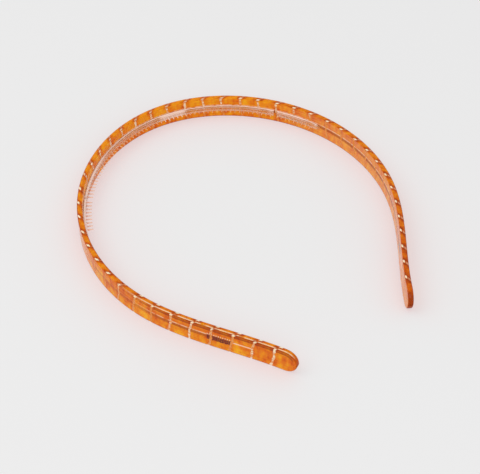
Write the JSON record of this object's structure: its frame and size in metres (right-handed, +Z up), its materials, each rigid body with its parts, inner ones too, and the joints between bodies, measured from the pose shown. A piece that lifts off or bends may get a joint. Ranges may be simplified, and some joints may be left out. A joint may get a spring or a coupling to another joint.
{
  "type": "headband",
  "caption": "Slim horseshoe headband of amber laminated acetate with cream cross lines, a steel core wire and a clear comb inside; both arms spring outwards.",
  "frame": {"origin": "middle of the bounding box, on the surface that the band's lower edge lies on", "axes": "+X across the hoop to the right arm, +Y from the tips towards the crown, +Z up across the band's width"},
  "size_m": [0.1262, 0.1462, 0.01],
  "materials": {
    "amber_acetate": "polished translucent amber cellulose acetate, golden in the middle of each segment and redder at its seams",
    "cream_acetate": "polished cream acetate sheet, seen as a thin line at each seam",
    "core_steel": "drawn steel wire with knurled flattened ends",
    "clear_comb": "clear moulded plastic, slightly pink"
  },
  "bodies": {
    "crown": {"crown_segment_01": "amber_acetate", "crown_segment_02": "amber_acetate", "crown_segment_03": "amber_acetate", "crown_segment_04": "amber_acetate", "crown_segment_05": "amber_acetate", "crown_segment_06": "amber_acetate", "crown_segment_07": "amber_acetate", "crown_segment_08": "amber_acetate", "crown_segment_09": "amber_acetate", "crown_segment_10": "amber_acetate", "crown_segment_11": "amber_acetate", "crown_segment_12": "amber_acetate", "crown_segment_13": "amber_acetate", "crown_segment_14": "amber_acetate", "crown_core_wire": "core_steel", "comb_middle": "clear_comb"},
    "left_arm": {"left_segment_01": "amber_acetate", "left_segment_02": "amber_acetate", "left_segment_03": "amber_acetate", "left_segment_04": "amber_acetate", "left_segment_05": "amber_acetate", "left_segment_06": "amber_acetate", "left_segment_07": "amber_acetate", "left_segment_08": "amber_acetate", "left_segment_09": "amber_acetate", "left_segment_10": "amber_acetate", "left_segment_11": "amber_acetate", "left_segment_12": "amber_acetate", "left_segment_13": "amber_acetate", "left_segment_14": "amber_acetate", "left_segment_15": "amber_acetate", "left_segment_16": "amber_acetate", "left_core_wire": "core_steel", "comb_left": "clear_comb"},
    "right_arm": {"right_segment_01": "amber_acetate", "right_segment_02": "amber_acetate", "right_segment_03": "amber_acetate", "right_segment_04": "amber_acetate", "right_segment_05": "amber_acetate", "right_segment_06": "amber_acetate", "right_segment_07": "amber_acetate", "right_segment_08": "amber_acetate", "right_segment_09": "amber_acetate", "right_segment_10": "amber_acetate", "right_segment_11": "amber_acetate", "right_segment_12": "amber_acetate", "right_segment_13": "amber_acetate", "right_segment_14": "amber_acetate", "right_segment_15": "amber_acetate", "right_segment_16": "amber_acetate", "right_core_wire": "core_steel", "comb_right": "clear_comb"}
  },
  "joints": [
    {"name": "left_arm_flex", "type": "hinge", "parent": "crown", "child": "left_arm", "pos_m": [-0.04857, 0.0458, 0.005], "axis": [0, 0, -1], "range_deg": [-3, 12], "stiffness_Nm_per_rad": 0.25},
    {"name": "right_arm_flex", "type": "hinge", "parent": "crown", "child": "right_arm", "pos_m": [0.04857, 0.0458, 0.005], "axis": [0, 0, 1], "range_deg": [-3, 12], "stiffness_Nm_per_rad": 0.25}
  ]
}
